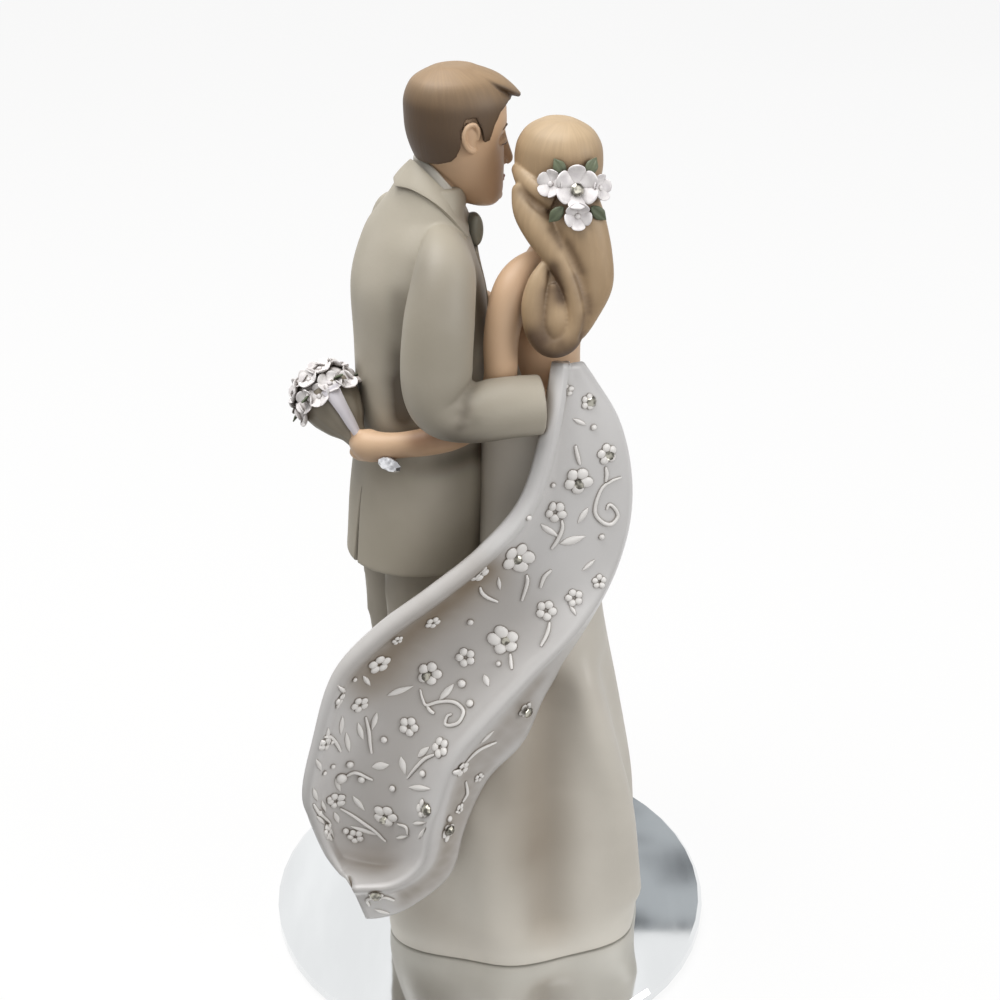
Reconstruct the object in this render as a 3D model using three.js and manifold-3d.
// Wedding cake topper: a bride and groom embracing, cast in resin, on a round mirror base.
// Millimetres, +Z up. The origin is the middle of the base's underside. The couple's faces look
// towards +Y, so the embroidered train sweeps across the side that faces -Y.
import * as THREE from "three";
import { mergeVertices } from "three/addons/utils/BufferGeometryUtils.js";
import Module from "manifold-3d";

const wasm = await Module();
wasm.setup();

// Driving dimensions: the base
const FELT_RADIUS = 43;
const FELT_THICK = 1;
const MIRROR_RADIUS = 45;
const MIRROR_THICK = 3;
const MIRROR_BEVEL = 0.8;
const DISC_SEGMENTS = 48;
const FIGURE_Z = FELT_THICK + MIRROR_THICK;

// Driving dimensions: the joints between castings
const GLUE_GAP = 0.3;
const BASE_PIN_RADIUS = 1.5;
const BASE_PIN_GRIP = 9;
const NECK_PIN_RADIUS = 1;
const NECK_PIN_GRIP = 5;

// Driving dimensions: where the couple stands on the mirror, and which way each one faces
const GROOM_X = -13;
const GROOM_Y = 9;
const GROOM_TURN = 25;
const GROOM_HEAD_AHEAD = 7.2;
const GROOM_HEAD_ASIDE = 3;
const GROOM_HEAD_TURN = 18;
const BRIDE_X = 12.8;
const BRIDE_Y = 4.2;
const BRIDE_TURN = 133;

// Driving dimensions: cloth, hair, trim and stones
const TRAIN_THICK = 2.2;
const HAIR_THICK = 1.1;
const LEG_APART = 5.8;
const TROUSER_HEM = 3.6;
const JACKET_HEM = 78.5;
const GOWN_WAIST = 106;
const VENT_WIDTH = 0.8;
const VENT_HEIGHT = 16;
const VENT_DEPTH = 2.4;
const HEM_FOLDS = 6;
const HEM_RIPPLE = 0.035;
const SWEEP_RIPPLE = 0.34;
const SWEEP_HEADING = -155;
const SWEEP_SPREAD = 34;
const PETALS = 5;
const STONE_RADIUS = 1.15;
const RING_STONE_RADIUS = 2;

// Paint and other finishes
const finish = (color, roughness, metalness = 0) =>
  new THREE.MeshStandardMaterial({ color, roughness, metalness });
const FELT = finish(0xd8d4cc, 0.95);
const MIRROR = finish(0xb4b8ba, 0.06, 1);
const STEEL = finish(0x9b9fa2, 0.35, 1);
const SUIT = finish(0x9c968a, 0.6);
const TROUSERS = finish(0x8a8578, 0.6);
const SHOES = finish(0x4a443c, 0.4);
const SHIRT = finish(0xd8d4ca, 0.55);
const TIE = finish(0x6b6a5c, 0.5);
const SKIN = finish(0xc69f7c, 0.5);
const BROWN_HAIR = finish(0x735238, 0.5);
const BLONDE_HAIR = finish(0xb5946c, 0.5);
const SATIN = finish(0xcfc9be, 0.45);
const PEARL = finish(0xd9d6d2, 0.35);
const PETAL = finish(0xe6e2e4, 0.45);
const LEAF = finish(0x5f6b52, 0.55);
const CRYSTAL = finish(0xdfe3e6, 0.05);

// Solids: a geometry becomes a manifold solid, is cut or joined, and becomes a mesh again

function solidOf(geometry) {
  const bare = geometry.clone();
  bare.deleteAttribute("normal");
  bare.deleteAttribute("uv");
  const merged = mergeVertices(bare, 1e-4);
  const vertProperties = merged.attributes.position.array;
  const triVerts = new Uint32Array(merged.index.array);
  const made = new wasm.Manifold(new wasm.Mesh({ numProp: 3, vertProperties, triVerts }));
  if (made.volume() > 0) return made;
  const turnedOut = triVerts.map((_, i) => triVerts[i - (i % 3) + ((3 - (i % 3)) % 3)]);
  return new wasm.Manifold(new wasm.Mesh({ numProp: 3, vertProperties, triVerts: turnedOut }));
}

// What is left of a solid after its neighbours take their room: the largest piece, without crumbs.
function carve(solid, ...neighbours) {
  const cut = neighbours.reduce((left, neighbour) => left.subtract(neighbour), solid);
  return cut.decompose().reduce((best, piece) => (piece.volume() > best.volume() ? piece : best));
}

const join = (...solids) => solids.reduce((all, one) => all.add(one));

function node(name, solid, material) {
  const made = solid.getMesh();
  const geometry = new THREE.BufferGeometry();
  geometry.setAttribute("position", new THREE.BufferAttribute(made.vertProperties, made.numProp));
  geometry.setIndex(new THREE.BufferAttribute(made.triVerts, 1));
  geometry.computeVertexNormals();
  const mesh = new THREE.Mesh(geometry, material);
  mesh.name = name;
  return mesh;
}

// Sculpting helpers

const vec = ([x, y, z]) => new THREE.Vector3(x, y, z);
const radians = THREE.MathUtils.degToRad;
const UP = new THREE.Vector3(0, 0, 1);

// A closed skin over rings that all have the same number of points.
function skin(rings) {
  const sides = rings[0].length;
  const middle = (ring) =>
    ring.reduce((sum, p) => sum.add(p), new THREE.Vector3()).divideScalar(sides);
  const points = [...rings.flat(), middle(rings[0]), middle(rings.at(-1))];
  const start = rings.length * sides;
  const faces = [];
  for (let s = 0; s < sides; s++) {
    const next = (s + 1) % sides;
    faces.push(start, next, s);
    faces.push(start + 1, start - sides + s, start - sides + next);
    for (let low = 0; low + sides < start; low += sides) {
      faces.push(low + s, low + next, low + sides + s);
      faces.push(low + next, low + sides + next, low + sides + s);
    }
  }
  const geometry = new THREE.BufferGeometry().setFromPoints(points);
  geometry.setIndex(faces);
  return solidOf(geometry);
}

// A person's own directions: ahead is where they face, aside is their right hand.
function stance(x, y, turn) {
  const angle = radians(turn);
  return {
    x,
    y,
    ahead: new THREE.Vector3(Math.cos(angle), Math.sin(angle), 0),
    aside: new THREE.Vector3(Math.sin(angle), -Math.cos(angle), 0),
  };
}

function placed(person, ahead, aside, height) {
  return new THREE.Vector3(person.x, person.y, height)
    .addScaledVector(person.ahead, ahead)
    .addScaledVector(person.aside, aside);
}

// Rows of ahead, aside and height, with any sizes after them, moved to the person's place.
const reach = (person, rows) =>
  rows.map(([ahead, aside, height, ...sizes]) => [
    ...placed(person, ahead, aside, height).toArray(),
    ...sizes,
  ]);

// An upright form over level rings. A row is height, ahead, aside, half width, front, back.
// extra swells it all over, which is how a neighbour leaves room for it.
function upright(person, rows, { steps = 14, sides = 24, ripple = () => 1 } = {}, extra = 0) {
  const centres = new THREE.CatmullRomCurve3(rows.map(([z, f, r]) => placed(person, f, r, z)));
  const girths = new THREE.CatmullRomCurve3(rows.map(([, , , w, f, b]) => vec([w, f, b])));
  const rings = [];
  for (let i = 0; i <= steps; i++) {
    const centre = centres.getPoint(i / steps);
    const girth = girths.getPoint(i / steps);
    const ring = [];
    const drop = i === 0 ? -extra : 0;
    const rise = i === steps ? extra : 0;
    for (let s = 0; s < sides; s++) {
      const angle = (2 * Math.PI * s) / sides;
      const depth = Math.sin(angle) > 0 ? girth.y : girth.z;
      const swell = ripple(angle, centre.z);
      ring.push(
        centre
          .clone()
          .addScaledVector(person.aside, (girth.x * swell + extra) * Math.cos(angle))
          .addScaledVector(person.ahead, (depth * swell + extra) * Math.sin(angle))
          .addScaledVector(UP, drop + rise),
      );
    }
    rings.push(ring);
  }
  return skin(rings);
}

// A limb along a path. A row is x, y, z, then its half width and half height there.
function limb(rows, { steps = 14, sides = 14, up = UP } = {}, extra = 0) {
  const path = new THREE.CatmullRomCurve3(rows.map(vec), false, "centripetal");
  const girths = new THREE.CatmullRomCurve3(rows.map(([, , , w, h]) => vec([w, h, 0])));
  const rings = [];
  for (let i = 0; i <= steps; i++) {
    const along = path.getTangent(i / steps);
    const girth = girths.getPoint(i / steps);
    const side = new THREE.Vector3().crossVectors(along, up).normalize();
    const rise = new THREE.Vector3().crossVectors(side, along).normalize();
    const push = (i === steps ? extra : 0) - (i === 0 ? extra : 0);
    const centre = path.getPoint(i / steps).addScaledVector(along, push);
    const ring = [];
    for (let s = 0; s < sides; s++) {
      const angle = (2 * Math.PI * s) / sides;
      ring.push(
        centre
          .clone()
          .addScaledVector(side, (girth.x + extra) * Math.cos(angle))
          .addScaledVector(rise, (girth.y + extra) * Math.sin(angle)),
      );
    }
    rings.push(ring);
  }
  return skin(rings);
}

// Turns a geometry made around +Z, or around another start direction, to face a direction.
function faced(geometry, point, direction, start = UP) {
  const turn = new THREE.Quaternion().setFromUnitVectors(start, direction.clone().normalize());
  return solidOf(geometry.applyQuaternion(turn).translate(point.x, point.y, point.z));
}

// Everything behind a plane through a point: a block that is longer than the whole object.
const FAR = 400;
function behind(point, direction) {
  const block = new THREE.BoxGeometry(FAR, FAR, FAR).translate(0, 0, -FAR / 2);
  return faced(block, point, direction);
}

// A round piece from a profile of radius and height.
function turned(profile, segments, point = vec([0, 0, 0]), direction = UP) {
  const outline = profile.map(([radius, height]) => new THREE.Vector2(radius, height));
  const lathe = new THREE.LatheGeometry(outline, segments);
  return faced(lathe, point, direction, new THREE.Vector3(0, 1, 0));
}

function rod(radius, low, high, { x, y }, segments = 16) {
  const profile = [
    [0, low],
    [radius, low],
    [radius, high],
    [0, high],
  ];
  return turned(profile, segments, vec([x, y, 0]));
}

const floor = behind(vec([0, 0, 0]), UP);

const groom = stance(GROOM_X, GROOM_Y, GROOM_TURN);
const groomHeadSpot = placed(groom, GROOM_HEAD_AHEAD, GROOM_HEAD_ASIDE, 0);
const groomHead = stance(groomHeadSpot.x, groomHeadSpot.y, GROOM_HEAD_TURN);
const bride = stance(BRIDE_X, BRIDE_Y, BRIDE_TURN);
// The gown and the hair are laid out along +X and -Y from the bride's place.
const gown = stance(BRIDE_X, BRIDE_Y, 0);

// Base: a bevelled mirror disc on a felt pad, with two steel pins that locate the castings

const GOWN_PIN_SPOT = placed(gown, -4, 6, 0);
const GROOM_PIN_SPOT = placed(groom, 0, -LEG_APART, 0);
const basePin = (spot, extra = 0) =>
  rod(BASE_PIN_RADIUS + extra, FELT_THICK, FIGURE_Z + BASE_PIN_GRIP + extra, spot);
const feltForm = rod(FELT_RADIUS, 0, FELT_THICK, { x: 0, y: 0 }, DISC_SEGMENTS);
const mirrorForm = turned(
  [
    [0, FELT_THICK],
    [MIRROR_RADIUS, FELT_THICK],
    [MIRROR_RADIUS, FIGURE_Z - MIRROR_BEVEL],
    [MIRROR_RADIUS - MIRROR_BEVEL, FIGURE_Z],
    [0, FIGURE_Z],
  ],
  DISC_SEGMENTS,
);
// The castings are modelled from the mirror's top face, so their pin holes are lowered to it.
const pinHole = (spot) => basePin(spot, GLUE_GAP).translate([0, 0, -FIGURE_Z]);

// Groom's suit

function shoeForm(side, extra = 0) {
  const rows = [
    [-7, side * LEG_APART, 2.4, 2.2, 2],
    [-5, side * LEG_APART, 2.6, 3.6, 3],
    [3, side * LEG_APART, 2.6, 3.8, 3.2],
    [9, side * LEG_APART, 2, 4.3, 2.4],
    [14, side * LEG_APART, 1.6, 3.4, 1.8],
    [16.5, side * LEG_APART, 1.4, 1.2, 1.2],
  ];
  return limb(reach(groom, rows), { steps: 8, sides: 10 }, extra).subtract(floor);
}

function legForm(side, extra = 0) {
  const rows = [
    [TROUSER_HEM, -1, side * LEG_APART, 4.7, 5.2, 5.6],
    [24, -1, side * LEG_APART, 5, 5.6, 6.2],
    [45, 0, side * LEG_APART, 5.6, 6.4, 8],
    [70, 0, side * LEG_APART, 6.6, 7.4, 10.2],
    [85, 0, side * LEG_APART, 6.6, 8, 10],
    [92, 0, side * LEG_APART, 6, 7.5, 8.5],
  ];
  return upright(groom, rows, { steps: 7, sides: 14 }, extra);
}
const trousersForm = (extra = 0) => join(legForm(1, extra), legForm(-1, extra));

const JACKET_ROWS = [
  [JACKET_HEM, 0, 0, 14, 13, 15.2],
  [91, 0.3, 0, 14, 13, 14.4],
  [106, 0.7, 0, 13, 12, 12.9],
  [121, 0.7, 0, 14.5, 12, 12.4],
  [133, 0.8, 0, 15.5, 11, 12.6],
  [142, 1.4, 0, 15, 7.4, 10],
  [147, 2.4, 0, 10.6, 5.6, 8.2],
  [149.6, 3.1, 0.4, 9, 5.4, 7.4],
  [152.4, 3.6, 0.8, 7.2, 4.6, 6.8],
];
const jacketForm = (extra = 0) => upright(groom, JACKET_ROWS, { steps: 12, sides: 20 }, extra);

function ventForm() {
  const slit = new THREE.BoxGeometry(2 * VENT_DEPTH, VENT_WIDTH, 2 * VENT_HEIGHT);
  slit.rotateZ(radians(GROOM_TURN));
  const [, ahead, aside, , , back] = JACKET_ROWS[0];
  return faced(slit, placed(groom, ahead - back, aside, JACKET_HEM), UP);
}

// The jacket's open neck is a wedge that narrows down to the button.
const NECK_HALF_WIDTH = 5;
const NECK_POINT = 114;
const NECK_DEPTH = 6;
function neckWedge(extra = 0) {
  const top = JACKET_ROWS.at(-1)[0] + 2;
  const outline = new THREE.Shape();
  outline.moveTo(0, NECK_POINT - 4 * extra);
  outline.lineTo(NECK_HALF_WIDTH + extra, top);
  outline.lineTo(-NECK_HALF_WIDTH - extra, top);
  const block = new THREE.ExtrudeGeometry(outline, { depth: FAR, bevelEnabled: false });
  block.rotateX(Math.PI / 2).rotateZ(Math.PI / 2 + radians(GROOM_TURN));
  return faced(block, placed(groom, NECK_DEPTH - extra, 0, 0), UP);
}

const COLLAR_ROWS = [
  [9.7, 4.4, 143.2, 0.9, 2],
  [7.7, 6.9, 145.4, 1, 2.3],
  [4.9, 8.2, 148.2, 1.1, 2.4],
  [2.1, 8.1, 151.4, 1.2, 2.3],
  [0, 6.4, 153.3, 1.3, 2.3],
  [-1.4, 3.4, 154, 1.4, 2.3],
  [-1.8, 1.1, 154.1, 1.4, 2.3],
  [-1.4, -1.2, 154, 1.4, 2.3],
  [0, -4.2, 153.3, 1.3, 2.3],
  [2.1, -5.9, 151.4, 1.2, 2.3],
  [4.9, -6, 148.2, 1.1, 2.4],
  [7.7, -4.7, 145.4, 1, 2.3],
  [9.7, -2.2, 143.2, 0.9, 2],
];
const collarForm = (extra = 0) => limb(reach(groom, COLLAR_ROWS), { steps: 16, sides: 6 }, extra);
const SHIRT_COLLAR_ROWS = [
  [9.2, 2.3, 146.7, 0.5, 1.4],
  [7.4, 5.8, 148.6, 0.5, 1.5],
  [4.6, 6.9, 151.2, 0.5, 1.5],
  [1.9, 6.1, 153.4, 0.5, 1.5],
  [0.3, 2.7, 154.3, 0.5, 1.5],
  [0, 1.1, 154.4, 0.5, 1.5],
  [0.3, -0.5, 154.3, 0.5, 1.5],
  [1.9, -3.9, 153.4, 0.5, 1.5],
  [4.6, -4.7, 151.2, 0.5, 1.5],
  [7.4, -3.6, 148.6, 0.5, 1.5],
  [9.2, -0.1, 146.7, 0.5, 1.4],
];
const shirtCollarForm = (extra = 0) =>
  limb(reach(groom, SHIRT_COLLAR_ROWS), { steps: 14, sides: 6 }, extra);

const BOW_HALF_WIDTH = 5.4;
const BOW_HALF_HEIGHT = 3.2;
const BOW_THICK = 2.2;
const BOW_AHEAD = 8.8;
const BOW_ASIDE = 0.8;
const BOW_DROP = 8;
const BOW_HEIGHT = JACKET_ROWS.at(-1)[0] - BOW_DROP;
function bowForm(extra = 0) {
  const knot = 1.1 + extra;
  const wide = BOW_HALF_WIDTH + extra;
  const tall = BOW_HALF_HEIGHT + extra;
  const outline = new THREE.Shape();
  outline.moveTo(-knot, knot);
  outline.lineTo(knot, knot);
  outline.quadraticCurveTo(wide / 2, tall, wide, tall);
  outline.quadraticCurveTo(wide * 1.15, 0, wide, -tall);
  outline.quadraticCurveTo(wide / 2, -tall, knot, -knot);
  outline.lineTo(-knot, -knot);
  outline.quadraticCurveTo(-wide / 2, -tall, -wide, -tall);
  outline.quadraticCurveTo(-wide * 1.15, 0, -wide, tall);
  outline.quadraticCurveTo(-wide / 2, tall, -knot, knot);
  const depth = BOW_THICK + 2 * extra;
  const bow = new THREE.ExtrudeGeometry(outline, { depth, bevelEnabled: false, curveSegments: 2 });
  bow.translate(0, 0, -extra).rotateX(Math.PI / 2).rotateZ(Math.PI / 2 + radians(GROOM_TURN));
  return faced(bow, placed(groom, BOW_AHEAD, BOW_ASIDE, BOW_HEIGHT), UP);
}

// Sleeves leave the groom's shoulders and end at the bride's back and waist.
const SLEEVE_UP = vec([1, 0.3, 1]);
const SLEEVE_RIGHT_ROWS = [
  ...reach(groom, [
    [0.2, 13.9, 143.2, 4.6, 3],
    [-1.5, 16.1, 140, 6.6, 5.6],
    [-3.8, 18.5, 132, 6.8, 6.4],
    [-4.9, 20, 123, 6.7, 6.4],
    [-4.5, 21.2, 118.2, 6.3, 5.8],
  ]),
  ...reach(bride, [
    [-1.3, -23, 117, 5.8, 5.6],
    [-5.6, -17.6, 117.6, 5.5, 5.5],
    [-8.5, -12.8, 117.6, 5.3, 5.4],
  ]),
];
const SLEEVE_LEFT_ROWS = [
  ...reach(groom, [
    [1.6, -11, 143, 4.6, 3],
    [2.3, -13.5, 140, 6.4, 5.6],
    [4.5, -15.6, 131, 6.6, 6.4],
    [7.4, -16.4, 120.5, 6.5, 6.2],
    [10.9, -15.2, 115.5, 6, 5.8],
  ]),
  ...reach(bride, [
    [26.3, 2.9, 113.2, 5.5, 5.5],
    [18.8, 6.2, 112.6, 5.1, 5.2],
  ]),
];
const sleeveForm = (rows, extra = 0) => limb(rows, { steps: 14, sides: 12, up: SLEEVE_UP }, extra);

const HAND_RIGHT_ROWS = reach(bride, [
  [-7.5, -13.9, 117.4, 3, 3],
  [-7.8, -10.4, 117, 1.9, 3],
  [-7.6, -6.5, 116.2, 1.3, 3.3],
  [-7.5, -2.5, 115.2, 1.1, 2.8],
  [-7.3, 0.1, 114.6, 0.6, 1.4],
]);
const HAND_LEFT_ROWS = reach(bride, [
  [20.2, 5.7, 112.6, 2.8, 2.8],
  [15.3, 7.7, 112, 2, 3],
  [10.2, 8.4, 111, 1.4, 3.4],
  [5, 9, 110, 1.2, 2.8],
  [2.4, 9.1, 109.6, 0.6, 1.4],
]);
const handForm = (rows, extra = 0) => limb(rows, { steps: 8, sides: 10 }, extra);

// Heads: rows from the chin to the crown, with a neck, a nose and ears joined on

const skullForm = (person, rows, extra = 0) => upright(person, rows, { steps: 11, sides: 16 }, extra);
const neckForm = (rows, extra = 0) =>
  limb(rows, { steps: 4, sides: 14, up: vec([1, 0, 0]) }, extra);

// The nose runs from the brow down to its tip and back under it.
function noseForm(person, tip, height, length, extra = 0) {
  const rows = [
    [tip - 2.2, 0, height + length, 0.7, 0.7],
    [tip - 1.2, 0, height + length / 2, 0.9, 1],
    [tip, 0, height + 0.4, 1.3, 1.1],
    [tip - 1.6, 0, height - 0.6, 1, 0.8],
  ];
  return limb(reach(person, rows), { steps: 5, sides: 6, up: person.ahead }, extra);
}

function earForm(person, ahead, aside, height, tall, extra = 0) {
  const rows = [
    [ahead + 0.8, aside, height - tall, 0.5, 0.5],
    [ahead, aside, height - tall / 2, 1.1, 1.2],
    [ahead - 0.6, aside, height + tall / 2, 1.2, 1.9],
    [ahead - 0.4, aside, height + tall, 0.6, 0.9],
  ];
  return limb(reach(person, rows), { steps: 5, sides: 6, up: person.ahead }, extra);
}

const GROOM_HEAD_ROWS = [
  [147.3, 5, 0, 1.4, 1.4, 2],
  [148.2, 4.6, 0, 2.9, 2.8, 4],
  [150, 3.6, 0, 4.3, 4.4, 5.2],
  [152.2, 2.4, 0, 5.4, 5.7, 6],
  [155, 1.2, 0, 6.2, 7, 6.6],
  [158.5, 0.5, 0, 6.9, 7.7, 7.8],
  [162.5, 0.2, 0, 7.4, 8.5, 8.6],
  [166.5, 0, 0, 7.2, 8.5, 8.6],
  [169.7, -0.4, 0, 5.8, 6.6, 7.1],
  [171.8, -0.6, 0, 2.2, 2.6, 3],
];
const GROOM_NECK_BOTTOM = 146.5;
const GROOM_NECK_ROWS = [
  ...reach(groom, [
    [3.3, 0.9, GROOM_NECK_BOTTOM, 4.9, 4.9],
    [4.4, 1.4, 150, 4.7, 4.9],
  ]),
  ...reach(groomHead, [[-1.2, -0.7, 156, 4.9, 5.4]]),
];
const groomNeckForm = (extra = 0) => neckForm(GROOM_NECK_ROWS, extra);
const groomHeadForm = (extra = 0) =>
  join(
    skullForm(groomHead, GROOM_HEAD_ROWS, extra),
    groomNeckForm(extra),
    noseForm(groomHead, 9, 155, 5, extra),
    earForm(groomHead, 0.4, 7.2, 161.6, 2.7, extra),
    earForm(groomHead, 0.4, -7.2, 161.6, 2.7, extra),
  );

const BRIDE_HEAD_ROWS = [
  [144.4, 4.6, -0.8, 1.2, 1.2, 1.6],
  [145.2, 4.2, -0.8, 2.4, 2.3, 3.2],
  [146.8, 3.2, -0.8, 3.6, 3.7, 4.4],
  [148.8, 2.1, -0.8, 4.6, 4.8, 5],
  [151.2, 1.1, -0.8, 5.3, 5.8, 5.8],
  [154, 0.5, -0.8, 5.9, 6.4, 6.9],
  [157, 0.2, -0.8, 6.1, 6.9, 7.4],
  [160, 0.1, -0.8, 5.8, 6.6, 7.3],
  [162.3, 0, -0.8, 4.6, 5.2, 5.9],
  [163.9, -0.1, -0.8, 1.8, 2.2, 2.6],
];
const BRIDE_NECK_BOTTOM = 143;
const BRIDE_NECK_ROWS = reach(bride, [
  [0.3, 0.3, BRIDE_NECK_BOTTOM, 3.2, 3.4],
  [0.1, -0.1, 148, 3.1, 3.3],
  [0, -0.6, 152, 3.6, 4],
]);
const brideNeckForm = (extra = 0) => neckForm(BRIDE_NECK_ROWS, extra);
const brideHeadForm = (extra = 0) =>
  join(
    skullForm(bride, BRIDE_HEAD_ROWS, extra),
    brideNeckForm(extra),
    noseForm(bride, 7.6, 151, 4, extra),
  );

// A neck pin reaches as far into the head as into the body below it.
const neckPin = (neckRows, bottom, extra = 0) => {
  const [x, y] = neckRows[0];
  const length = NECK_PIN_GRIP + extra;
  return rod(NECK_PIN_RADIUS + extra, bottom - length, bottom + length, { x, y });
};
const groomNeckPin = (extra = 0) => neckPin(GROOM_NECK_ROWS, GROOM_NECK_BOTTOM, extra);
const brideNeckPin = (extra = 0) => neckPin(BRIDE_NECK_ROWS, BRIDE_NECK_BOTTOM, extra);

// Hair: the skull swelled by the hair's thickness and cut back to the hairline, then its locks

// A hairline is how far ahead it starts, its drop below the crown, and how steeply it falls back.
function capForm(person, rows, { ahead, drop, slope }, extra = 0) {
  const crown = rows.at(-1)[0];
  const hairline = placed(person, ahead, 0, crown - drop - extra);
  const facing = person.ahead.clone().multiplyScalar(-slope).add(UP);
  return skullForm(person, rows, HAIR_THICK + extra).subtract(behind(hairline, facing));
}
const GROOM_HAIRLINE = { ahead: 8, drop: 6.6, slope: 0.71 };
const BRIDE_HAIRLINE = { ahead: 6.8, drop: 4.7, slope: 1.25 };
const QUIFF_ROWS = reach(groomHead, [
  [2.6, 0.9, 171, 3, 1.6],
  [6.4, 1.6, 169.6, 3.6, 1.6],
  [8.8, 2, 168, 2.8, 1.3],
  [10.3, 2.3, 167, 0.8, 0.6],
]);
const groomHairForm = (extra = 0) =>
  join(
    capForm(groomHead, GROOM_HEAD_ROWS, GROOM_HAIRLINE, extra),
    limb(QUIFF_ROWS, { steps: 6, sides: 10 }, extra),
  );
const brideCapForm = (extra = 0) => capForm(bride, BRIDE_HEAD_ROWS, BRIDE_HAIRLINE, extra);

const LOCK_UP = vec([0, 1, 0.2]);
const HAIR_FALL_ROWS = reach(gown, [
  [1.6, 6.7, 154.1, 4, 2.8],
  [3, 9.2, 148.8, 4.6, 3.2],
  [4.4, 10.4, 143.8, 4.3, 3.2],
  [5.7, 11.4, 138.7, 3.6, 2.9],
  [6, 12.4, 134.1, 3, 2.5],
  [4.6, 13.2, 130.1, 2.3, 2],
  [2, 13.8, 127.7, 1.2, 1],
]);
const hairFallForm = (extra = 0) => limb(HAIR_FALL_ROWS, { steps: 12, sides: 10, up: LOCK_UP }, extra);
// The ringlet leaves the left temple, drops beside the fall and curls back up round a small lobe.
const RINGLET_ROWS = reach(gown, [
  [-6.8, 4.6, 154.8, 2, 1.6],
  [-5.6, 7, 150.6, 3, 2.2],
  [-3.5, 9, 147.3, 3, 2.4],
  [-1.1, 10.9, 144.1, 2.5, 2.2],
  [1.1, 12.5, 140.5, 1.9, 2],
  [2.5, 13.5, 136.3, 1.8, 2],
  [2.4, 14.1, 132.3, 1.9, 2],
  [0.6, 14.4, 129.2, 2.1, 2],
  [-2, 14, 128.7, 2.1, 1.9],
  [-4, 13.6, 131.1, 2, 1.8],
  [-4.6, 13.1, 135.2, 1.8, 1.6],
  [-3.6, 12.4, 138.8, 0.9, 0.9],
]);
const LOBE_ROWS = reach(gown, [
  [-1.2, 12.6, 137.8, 0.8, 0.8],
  [-0.9, 13.5, 135.2, 1.7, 1.4],
  [-0.7, 14.1, 132.6, 1.9, 1.5],
  [-0.8, 14.2, 130.2, 1.3, 1.2],
]);
const ringletForm = (extra = 0) =>
  join(
    limb(RINGLET_ROWS, { steps: 20, sides: 8, up: LOCK_UP }, extra),
    limb(LOBE_ROWS, { steps: 5, sides: 8, up: LOCK_UP }, extra),
  );
const TWIST_ROWS = reach(gown, [
  [-8, 1.4, 156.6, 0.9, 0.8],
  [-7, 4.6, 155.6, 1.4, 1.3],
  [-4.6, 7.6, 154, 1.6, 1.4],
  [-1.4, 9, 152.6, 1.4, 1.2],
]);
const twistForm = (extra = 0) => limb(TWIST_ROWS, { steps: 8, sides: 10, up: LOCK_UP }, extra);

// Bride's body: one form, split by the gown's slanted top edge into bare shoulders and bodice

const SHOULDER_TOP = 145.6;
// A level of the body by its share of the way from the gown's waist to the top of the shoulders.
const bodyLevel = (share) => GOWN_WAIST + share * (SHOULDER_TOP - GOWN_WAIST);
const BRIDE_BODY_ROWS = [
  [bodyLevel(0), 0.2, -0.6, 7.5, 7.2, 6.6],
  [bodyLevel(0.15), 0.2, -0.8, 7.2, 7.2, 6],
  [bodyLevel(0.38), 0.4, -1, 7.6, 8.4, 5.8],
  [bodyLevel(0.53), 0.5, -1, 8.4, 9.2, 6],
  [bodyLevel(0.66), 0.3, -0.9, 9.4, 8.4, 6.2],
  [bodyLevel(0.77), 0, -0.6, 10.6, 6.2, 6],
  [bodyLevel(0.87), -0.3, -0.3, 8.2, 4.8, 5],
  [bodyLevel(0.95), -0.2, 0, 4.6, 4.4, 4.4],
  [bodyLevel(1), 0, 0, 3.8, 4, 4],
];
const brideBodyForm = (extra = 0) => upright(bride, BRIDE_BODY_ROWS, { steps: 14, sides: 18 }, extra);
const GOWN_TOP = bodyLevel(0.39);
const GOWN_TOP_SLOPE = 1.25;
const gownTop = (extra = 0) =>
  behind(
    placed(bride, 0, 0, GOWN_TOP + extra),
    bride.ahead.clone().multiplyScalar(-GOWN_TOP_SLOPE).add(UP),
  );

const ARM_UP = vec([0.3, 1, 0.4]);
const ARM_LEFT_ROWS = [
  ...reach(bride, [
    [0.1, -9.2, 138.8, 2.9, 2.7],
    [0.1, -11.9, 136, 3.5, 3.5],
    [0.2, -14.4, 128, 3.2, 3.3],
    [-0.2, -15, 119.5, 3, 3],
  ]),
  ...reach(groom, [
    [4.7, 17, 112.6, 2.9, 2.8],
    [0.5, 16.6, 109.6, 2.8, 2.7],
    [-4.6, 15, 108.3, 2.7, 2.6],
    [-8.9, 12.4, 107.3, 2.5, 2.3],
    [-12, 10.3, 106.7, 2.9, 2.6],
    [-13.8, 7.8, 106.3, 3.3, 3],
    [-15.1, 4.9, 106.9, 1.6, 1.8],
  ]),
];
const ARM_RIGHT_ROWS = [
  ...reach(bride, [
    [0.6, 7.6, 138.8, 2.9, 2.8],
    [2.8, 9.8, 135.2, 3.2, 3.3],
    [8.2, 12.8, 126.5, 3, 3],
    [13, 13.2, 119.8, 2.8, 2.8],
    [16.6, 9.8, 120, 2.5, 2.5],
  ]),
  ...reach(groom, [
    [21.4, -4.6, 122.6, 2.1, 2.3],
    [15.6, -4.6, 126, 1.4, 2.8],
    [12.6, -6.4, 129, 0.7, 1.5],
  ]),
];
const armForm = (rows, extra = 0) => limb(rows, { steps: 18, sides: 10, up: ARM_UP }, extra);

// Skirt: its folds deepen towards the hem, and one fold sweeps out under the train

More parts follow.
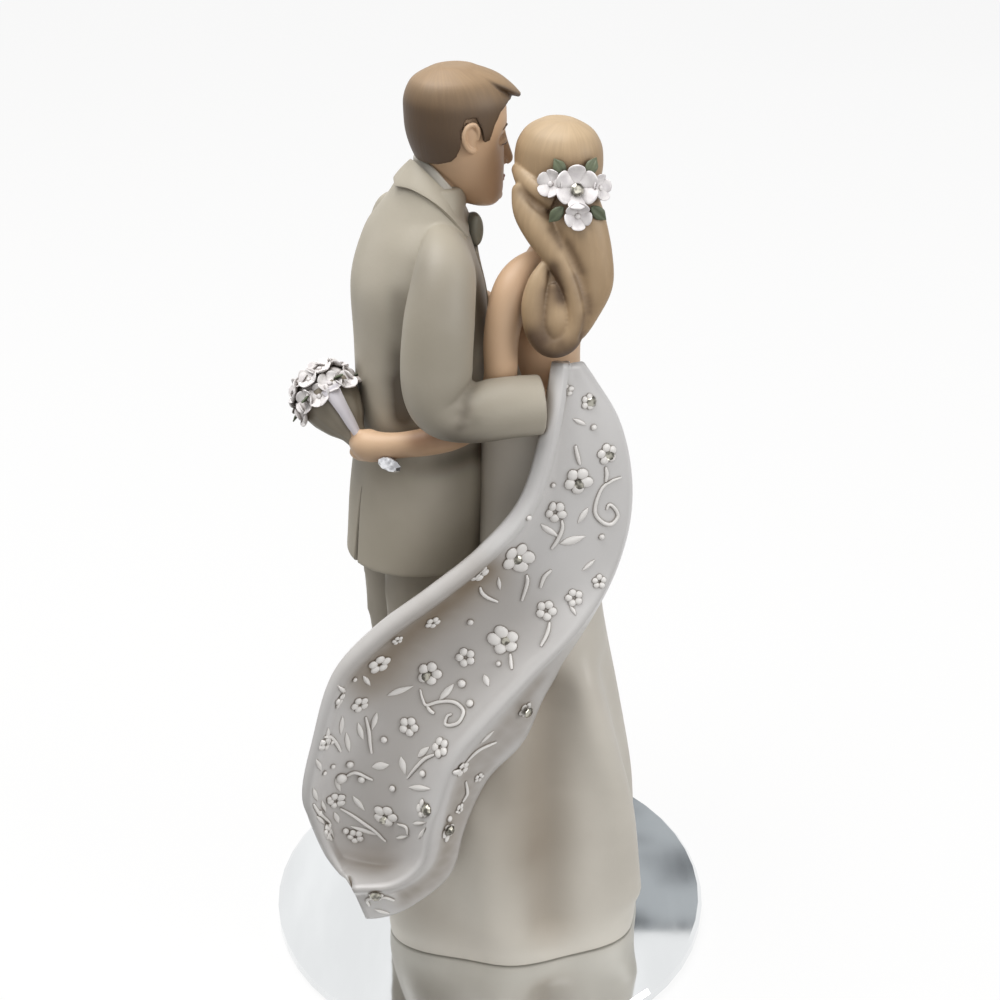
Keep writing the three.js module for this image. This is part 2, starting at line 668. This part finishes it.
const SKIRT_ROWS = [
  [0, -6.3, 9.6, 19.1, 24.6, 21],
  [5, -6.3, 9.6, 19.4, 25, 21.2],
  [16, -5.8, 9.4, 18.2, 23.6, 20.6],
  [31, -5.3, 8.7, 16.5, 22, 18.6],
  [51, -4.3, 6.7, 14, 17.4, 15],
  [71, -3.3, 4.2, 11.5, 12.4, 11.5],
  [92, -1.3, 1.7, 9.2, 9.5, 12.4],
  [GOWN_WAIST, -0.5, 0.7, 7.8, 8.3, 12],
];
function hemFolds(angle, height) {
  const depth = THREE.MathUtils.smoothstep(GOWN_WAIST - height, 0, GOWN_WAIST);
  const heading = THREE.MathUtils.radToDeg(Math.atan2(-Math.cos(angle), Math.sin(angle)));
  const away = THREE.MathUtils.euclideanModulo(heading - SWEEP_HEADING + 180, 360) - 180;
  const sweep = SWEEP_RIPPLE * Math.exp(-((away / SWEEP_SPREAD) ** 2));
  const folds = HEM_RIPPLE * Math.cos(HEM_FOLDS * angle + 0.6);
  return 1 + depth * (sweep + folds);
}
const skirtForm = (extra = 0) =>
  upright(gown, SKIRT_ROWS, { steps: 11, sides: 32, ripple: hemFolds }, extra);

// Train: each station runs from the free rim down into the dish, up to the lower rim and under it

const TRAIN_STATIONS = [
  [[-0.9, 12.7, 124.8], [0.1, 12, 124.5], [0.9, 11.6, 124.3], [2.4, 11, 124], [3.6, 9.2, 122.7]],
  [[-2.4, 16.2, 115.6], [-0.4, 13.7, 114.4], [3.6, 12.7, 113.5], [9.5, 9.6, 111.3], [10.8, 2.2, 106.5]],
  [[-6.4, 19.2, 100.8], [-3.2, 15.2, 98], [3, 14.2, 97.1], [12, 10.2, 96], [12.8, 1.2, 90.1]],
  [[-13.9, 22.2, 92.2], [-9.2, 17.2, 87.2], [-0.5, 16.2, 84.5], [9.3, 13.2, 82.8], [9.8, 5.2, 77]],
  [[-23, 24.2, 85], [-17.6, 18.7, 78.5], [-7, 17.7, 74.6], [2.8, 18.7, 73.5], [3.8, 11.2, 66.7]],
  [[-33.1, 25.2, 77.1], [-27, 19.2, 67.8], [-15.4, 20.2, 65.1], [-4.8, 23.2, 64.4], [-3, 17.2, 57.7]],
  [[-40.8, 25.7, 68.1], [-34.4, 20.7, 57.5], [-24, 22.2, 56.3], [-11.3, 26.7, 56.5], [-6.6, 20.2, 49.3]],
  [[-45.3, 26.2, 53.8], [-39.5, 21.7, 46.6], [-29.5, 23.2, 46.5], [-17.8, 29.2, 49.8], [-12.2, 22.2, 42.5]],
  [[-48, 25.7, 38.9], [-42.3, 22.2, 35.5], [-32, 24.2, 35.8], [-21.9, 31.2, 40.8], [-15.8, 22.7, 34.6]],
  [[-46.1, 25.7, 31.6], [-43.2, 22.7, 27.2], [-33.4, 23.2, 24.7], [-23.2, 32.2, 37.3], [-17.9, 25.7, 31.6]],
  [[-44.2, 26.7, 27], [-41.9, 23.7, 23.3], [-33.4, 24.7, 21.9], [-25, 33.2, 29.9], [-21.1, 27.7, 22.9]],
  [[-42.4, 28.2, 25.3], [-40.9, 26.2, 22.9], [-35.4, 26.7, 21.8], [-30.3, 33.7, 25], [-27.5, 30.2, 17.7]],
  [[-41.1, 29.7, 25.6], [-40.4, 29.4, 24.6], [-39.6, 30.2, 23.8], [-39, 33.2, 23.6], [-36.5, 31.2, 12.5]],
];
const trainLines = TRAIN_STATIONS[0].map((_, line) => {
  const points = reach(gown, TRAIN_STATIONS.map((station) => station[line]));
  return new THREE.CatmullRomCurve3(points.map(vec), false, "centripetal");
});
// The middle of the cloth at a share of its length and of its width.
function trainPoint(length, width) {
  const across = trainLines.map((line) => line.getPoint(length));
  return new THREE.CatmullRomCurve3(across, false, "centripetal").getPoint(width);
}
const NUDGE = 0.004;
function trainNormal(length, width) {
  const l = THREE.MathUtils.clamp(length, NUDGE, 1 - NUDGE);
  const w = THREE.MathUtils.clamp(width, NUDGE, 1 - NUDGE);
  const down = trainPoint(l + NUDGE, w).sub(trainPoint(l - NUDGE, w));
  const over = trainPoint(l, w + NUDGE).sub(trainPoint(l, w - NUDGE));
  return down.cross(over).normalize();
}
const TRAIN_STEPS = 22;
const TRAIN_ACROSS = 9;
function trainForm() {
  const rings = [];
  for (let i = 0; i <= TRAIN_STEPS; i++) {
    const face = [];
    const back = [];
    for (let j = 0; j <= TRAIN_ACROSS; j++) {
      const shares = [i / TRAIN_STEPS, j / TRAIN_ACROSS];
      const normal = trainNormal(...shares);
      face.push(trainPoint(...shares).addScaledVector(normal, TRAIN_THICK / 2));
      back.unshift(trainPoint(...shares).addScaledVector(normal, -TRAIN_THICK / 2));
    }
    rings.push([...face, ...back]);
  }
  return skin(rings);
}

// Stones, flowers and leaves

function stoneForm(radius, point, normal, extra = 0) {
  const profile = [
    [0, -0.7 * radius - extra],
    [radius + extra, -extra],
    [radius + extra, 0.15 * radius + extra],
    [0.6 * radius + extra, 0.5 * radius + extra],
    [0, 0.5 * radius + extra],
  ];
  return turned(profile, 8, point, normal);
}

// A cupped flower, ring by ring from its underside over the petals' rims into the cup. A ring is
// its share of the radius, how far the notches between the petals cut in, and its share of height.
const FLOWER_RINGS = [
  [0.35, 0, 0],
  [1, 0.3, 0.7],
  [0.92, 0.3, 1],
  [0.3, 0, 0.5],
];
const UNDERSIDE_RINGS = 2;
function flowerForm(radius, thick, point, normal, extra = 0) {
  const turn = new THREE.Quaternion().setFromUnitVectors(UP, normal.clone().normalize());
  const perPetal = 3;
  const sides = perPetal * PETALS;
  const rings = FLOWER_RINGS.map(([share, notch, height], index) => {
    const level = thick * height + (index < UNDERSIDE_RINGS ? -extra : extra);
    return Array.from({ length: sides }, (_, s) => {
      const angle = (2 * Math.PI * s) / sides;
      const cut = s % perPetal === 0 ? notch : 0;
      const out = radius * share * (1 - cut) + extra;
      const spot = vec([out * Math.cos(angle), out * Math.sin(angle), level]);
      return spot.applyQuaternion(turn).add(point);
    });
  });
  return skin(rings);
}

// A leaf from its stalk to its tip, flat towards a direction.
function leafForm(stalk, tip, halfWidth, facing, extra = 0) {
  const rows = [
    [...stalk.toArray(), 0.5, 0.4],
    [...stalk.clone().lerp(tip, 0.5).toArray(), halfWidth, 0.5],
    [...tip.toArray(), 0.35, 0.35],
  ];
  return limb(rows, { steps: 5, sides: 6, up: facing }, extra);
}

// Train stones by their share of the train's length and width; they sit in pockets in its face.
const TRAIN_STONES = [
  [0.055, 0.61],
  [0.117, 0.65],
  [0.144, 0.49],
  [0.243, 0.28],
  [0.364, 0.51],
  [0.438, 0.355],
  [0.682, 0.485],
  [0.664, 0.69],
  [0.457, 0.845],
  [0.75, 0.845],
  [0.965, 0.8],
];
const trainStone = ([length, width], extra = 0) => {
  const normal = trainNormal(length, width);
  const seat = trainPoint(length, width).addScaledVector(normal, TRAIN_THICK / 2);
  return stoneForm(STONE_RADIUS, seat, normal, extra);
};

// Hair flowers and leaves, laid out from the bride's place like the gown
const FLOWER_THICK = 1.4;
const HAIR_FLOWERS = [
  { name: "hair_flower_main", radius: 3.3, at: [2.2, 10, 155.2], facing: [0.1, -0.9, 0.35] },
  { name: "hair_flower_left", radius: 2.1, at: [-2.1, 9, 155.7], facing: [-0.45, -0.8, 0.35] },
  { name: "hair_flower_right", radius: 2.1, at: [6.4, 9.5, 154.9], facing: [0.5, -0.8, 0.3] },
  { name: "hair_flower_lower", radius: 2.1, at: [2.4, 12.2, 151], facing: [0.1, -0.95, 0.2] },
];
const HAIR_LEAVES = [
  { name: "hair_leaf_upper_left", stalk: [0.2, 9, 157.6], tip: [-1.3, 8, 159.6] },
  { name: "hair_leaf_upper_right", stalk: [4, 9, 157.6], tip: [5.1, 7.4, 159.4] },
  { name: "hair_leaf_lower_left", stalk: [0, 11.4, 152.8], tip: [-1.9, 11.4, 150.5] },
  { name: "hair_leaf_lower_right", stalk: [4.7, 11.3, 152.8], tip: [6.9, 10.8, 150.5] },
];
const LEAF_HALF_WIDTH = 1.1;
const LEAF_FACING = vec([0, -1, 0.3]);
const onGown = (spot) => placed(gown, ...spot);
const hairFlower = ({ radius, at, facing }, extra = 0) =>
  flowerForm(radius, FLOWER_THICK, onGown(at), vec(facing), extra);
const hairLeaf = ({ stalk, tip }, extra = 0) =>
  leafForm(onGown(stalk), onGown(tip), LEAF_HALF_WIDTH, LEAF_FACING, extra);
const hairStone = (extra = 0) => {
  const { at, facing } = HAIR_FLOWERS[0];
  const normal = vec(facing).normalize();
  const face = onGown(at).addScaledVector(normal, 0.8 * FLOWER_THICK);
  return stoneForm(STONE_RADIUS, face, normal, extra);
};

// Bouquet: a cone of wrapped stems from the bride's left hand to a domed bed of flowers
const BOUQUET_STEM = placed(groom, -14.4, 5, 107.6);
const BOUQUET_RIM = placed(groom, -15.9, -1.4, 113.8);
const BOUQUET_RIM_RADIUS = 6.4;
const BOUQUET_STEM_RADIUS = 1.9;
const BOUQUET_DOME_HEIGHT = 4.2;
const bouquetAxis = BOUQUET_RIM.clone().sub(BOUQUET_STEM);
const bouquetLength = bouquetAxis.length();
bouquetAxis.normalize();
const bouquetWrap = (extra = 0) =>
  turned(
    [
      [0, -extra],
      [BOUQUET_STEM_RADIUS + extra, -extra],
      [BOUQUET_STEM_RADIUS + extra, bouquetLength / 3],
      [BOUQUET_RIM_RADIUS + extra, bouquetLength + extra],
      [0, bouquetLength + extra],
    ],
    20,
    BOUQUET_STEM,
    bouquetAxis,
  );
const bouquetDome = (extra = 0) => {
  const wide = BOUQUET_RIM_RADIUS + 0.4 + extra;
  const tall = BOUQUET_DOME_HEIGHT + extra;
  const profile = [[0, -extra], [wide, -extra]];
  const arcSteps = 5;
  for (let i = 1; i < arcSteps; i++) {
    const angle = (i / arcSteps) * (Math.PI / 2);
    profile.push([wide * Math.cos(angle), 0.6 + tall * Math.sin(angle)]);
  }
  profile.push([0, 0.6 + tall]);
  const seat = BOUQUET_RIM.clone().addScaledVector(bouquetAxis, GLUE_GAP);
  return turned(profile, 20, seat, bouquetAxis);
};
const BOUQUET_FLOWERS = 5;
const BOUQUET_FLOWER_RADIUS = 2.5;
// The flowers stand in a ring on the dome's shoulder.
const bouquetSide = new THREE.Vector3().crossVectors(bouquetAxis, UP).normalize();
const bouquetFlower = (index, extra = 0) => {
  const turn = (2 * Math.PI * index) / BOUQUET_FLOWERS;
  const out = bouquetSide.clone().applyAxisAngle(bouquetAxis, turn);
  const facing = out.clone().multiplyScalar(0.62).addScaledVector(bouquetAxis, 0.78);
  const at = BOUQUET_RIM.clone()
    .addScaledVector(out, 0.62 * BOUQUET_RIM_RADIUS)
    .addScaledVector(bouquetAxis, 0.8 * BOUQUET_DOME_HEIGHT + 0.8);
  return flowerForm(BOUQUET_FLOWER_RADIUS, FLOWER_THICK, at, facing, extra);
};

// Ring stone on the bride's left hand
const RING_SPOT = placed(groom, -11.6, 13.1, 104.2);
const RING_FACING = vec([-0.1, -0.9, -0.4]);
const ringStone = (extra = 0) => stoneForm(RING_STONE_RADIUS, RING_SPOT, RING_FACING, extra);

// Pieces, cut to leave a glue gap wherever one casting meets another

const gap = GLUE_GAP;
const base = new THREE.Group();
base.name = "base";
base.add(
  node("base_felt", feltForm, FELT),
  node(
    "base_mirror",
    carve(mirrorForm, basePin(GOWN_PIN_SPOT, gap), basePin(GROOM_PIN_SPOT, gap)),
    MIRROR,
  ),
  node("gown_pin", basePin(GOWN_PIN_SPOT), STEEL),
  node("groom_pin", basePin(GROOM_PIN_SPOT), STEEL),
);

const jacketGap = jacketForm(gap);
const trousersGap = trousersForm(gap);
const shoesGap = join(shoeForm(1, gap), shoeForm(-1, gap));
const brideBodyGap = brideBodyForm(gap);
const skirtGap = skirtForm(gap);
const rightSleeveGap = sleeveForm(SLEEVE_RIGHT_ROWS, gap);
const leftSleeveGap = sleeveForm(SLEEVE_LEFT_ROWS, gap);
const groomHeadGap = groomHeadForm(gap);
const groomHairGap = groomHairForm(gap);
const brideHeadGap = brideHeadForm(gap);

const groomGroup = new THREE.Group();
groomGroup.name = "groom";
groomGroup.add(
  node("groom_shoe_right", shoeForm(1), SHOES),
  node("groom_shoe_left", carve(shoeForm(-1), pinHole(GROOM_PIN_SPOT)), SHOES),
  node("groom_trousers", carve(trousersForm(), shoesGap, pinHole(GROOM_PIN_SPOT)), TROUSERS),
  node(
    "groom_jacket",
    carve(
      jacketForm(),
      trousersGap,
      ventForm(),
      neckWedge(gap),
      groomNeckForm(gap),
      groomNeckPin(gap),
      collarForm(gap),
      shirtCollarForm(gap),
    ),
    SUIT,
  ),
  node(
    "groom_shirt_front",
    carve(
      jacketForm().intersect(neckWedge()),
      groomHeadGap,
      collarForm(gap),
      shirtCollarForm(gap),
      bowForm(gap),
    ),
    SHIRT,
  ),
  node("groom_shirt_collar", carve(shirtCollarForm(), groomHeadGap, groomHairGap), SHIRT),
  node(
    "groom_jacket_collar",
    carve(collarForm(), shirtCollarForm(gap), groomHeadGap, groomHairGap),
    SUIT,
  ),
  node(
    "groom_bow_tie",
    carve(bowForm(), jacketGap, shirtCollarForm(gap), collarForm(gap), groomHeadGap),
    TIE,
  ),
  node(
    "groom_sleeve_right",
    carve(sleeveForm(SLEEVE_RIGHT_ROWS), jacketGap, brideBodyGap, handForm(HAND_RIGHT_ROWS, gap)),
    SUIT,
  ),
  node(
    "groom_sleeve_left",
    carve(sleeveForm(SLEEVE_LEFT_ROWS), jacketGap, brideBodyGap, handForm(HAND_LEFT_ROWS, gap)),
    SUIT,
  ),
  node("groom_hand_right", carve(handForm(HAND_RIGHT_ROWS), brideBodyGap, skirtGap), SKIN),
  node("groom_hand_left", carve(handForm(HAND_LEFT_ROWS), brideBodyGap, skirtGap), SKIN),
  node("groom_neck_pin", groomNeckPin(), STEEL),
  node("groom_head", carve(groomHeadForm(), groomNeckPin(gap)), SKIN),
  node("groom_hair", carve(groomHairForm(), groomHeadGap), BROWN_HAIR),
);

const brideCapGap = brideCapForm(gap);
const hairFallGap = hairFallForm(gap);
const ringletGap = ringletForm(gap);
const flowersGap = join(...HAIR_FLOWERS.map((flower) => hairFlower(flower, gap)));
const leavesGap = join(...HAIR_LEAVES.map((leaf) => hairLeaf(leaf, gap)));
const groomFaceGap = join(groomHeadGap, groomHairGap);
const armLeftGap = armForm(ARM_LEFT_ROWS, gap);

const brideGroup = new THREE.Group();
brideGroup.name = "bride";
brideGroup.add(
  node(
    "bride_torso",
    carve(brideBodyForm(), gownTop(gap), brideHeadGap, brideNeckPin(gap)),
    SKIN,
  ),
  node("bride_neck_pin", brideNeckPin(), STEEL),
  node("bride_head", carve(brideHeadForm(), brideNeckPin(gap), groomFaceGap), SKIN),
  node(
    "bride_arm_left",
    carve(armForm(ARM_LEFT_ROWS), brideBodyGap, jacketGap, rightSleeveGap, skirtGap, ringStone(gap)),
    SKIN,
  ),
  node(
    "bride_arm_right",
    carve(armForm(ARM_RIGHT_ROWS), brideBodyGap, jacketGap, leftSleeveGap),
    SKIN,
  ),
  node(
    "bride_hair_cap",
    carve(brideCapForm(), brideHeadGap, groomFaceGap, brideBodyGap, flowersGap, leavesGap),
    BLONDE_HAIR,
  ),
  node(
    "bride_hair_fall",
    carve(hairFallForm(), brideCapGap, brideHeadGap, brideBodyGap, flowersGap, leavesGap),
    BLONDE_HAIR,
  ),
  node(
    "bride_hair_ringlet",
    carve(ringletForm(), brideCapGap, brideHeadGap, brideBodyGap, hairFallGap, flowersGap, leavesGap),
    BLONDE_HAIR,
  ),
  node(
    "bride_hair_twist",
    carve(
      twistForm(),
      brideCapGap,
      brideHeadGap,
      groomFaceGap,
      hairFallGap,
      ringletGap,
      flowersGap,
      leavesGap,
    ),
    BLONDE_HAIR,
  ),
  node("gown_bodice", brideBodyForm().intersect(gownTop()), SATIN),
  node(
    "gown_skirt",
    carve(skirtForm(), shoesGap, trousersGap, jacketGap, pinHole(GOWN_PIN_SPOT)),
    SATIN,
  ),
  node(
    "gown_train",
    carve(
      trainForm(),
      skirtGap,
      brideBodyGap,
      rightSleeveGap,
      handForm(HAND_RIGHT_ROWS, gap),
      hairFallGap,
      ringletGap,
      join(...TRAIN_STONES.map((stone) => trainStone(stone, gap))),
    ),
    PEARL,
  ),
  node("ring_stone", ringStone(), CRYSTAL),
);

const flowerGroup = new THREE.Group();
flowerGroup.name = "flowers";
HAIR_FLOWERS.forEach((flower, index) => {
  const earlier = HAIR_FLOWERS.slice(0, index).map((other) => hairFlower(other, gap));
  const form = carve(hairFlower(flower), ...earlier, hairStone(gap));
  flowerGroup.add(node(flower.name, form, PETAL));
});
HAIR_LEAVES.forEach((leaf) => {
  flowerGroup.add(node(leaf.name, carve(hairLeaf(leaf), flowersGap), LEAF));
});
flowerGroup.add(
  node("hair_flower_stone", hairStone(), CRYSTAL),
  node("bouquet_wrap", carve(bouquetWrap(), armLeftGap, jacketGap), LEAF),
  node("bouquet_dome", carve(bouquetDome(), jacketGap), PETAL),
);
for (let i = 0; i < BOUQUET_FLOWERS; i++) {
  const earlier = Array.from({ length: i }, (_, other) => bouquetFlower(other, gap));
  const form = carve(bouquetFlower(i), bouquetDome(gap), jacketGap, ...earlier);
  flowerGroup.add(node(`bouquet_flower_${i + 1}`, form, PETAL));
}
TRAIN_STONES.forEach((stone, index) => {
  flowerGroup.add(node(`train_stone_${index + 1}`, trainStone(stone), CRYSTAL));
});

const figures = new THREE.Group();
figures.name = "figures";
figures.position.z = FIGURE_Z;
figures.add(groomGroup, brideGroup, flowerGroup);

const topper = new THREE.Group();
topper.name = "wedding_cake_topper";
topper.add(base, figures);

export default topper;
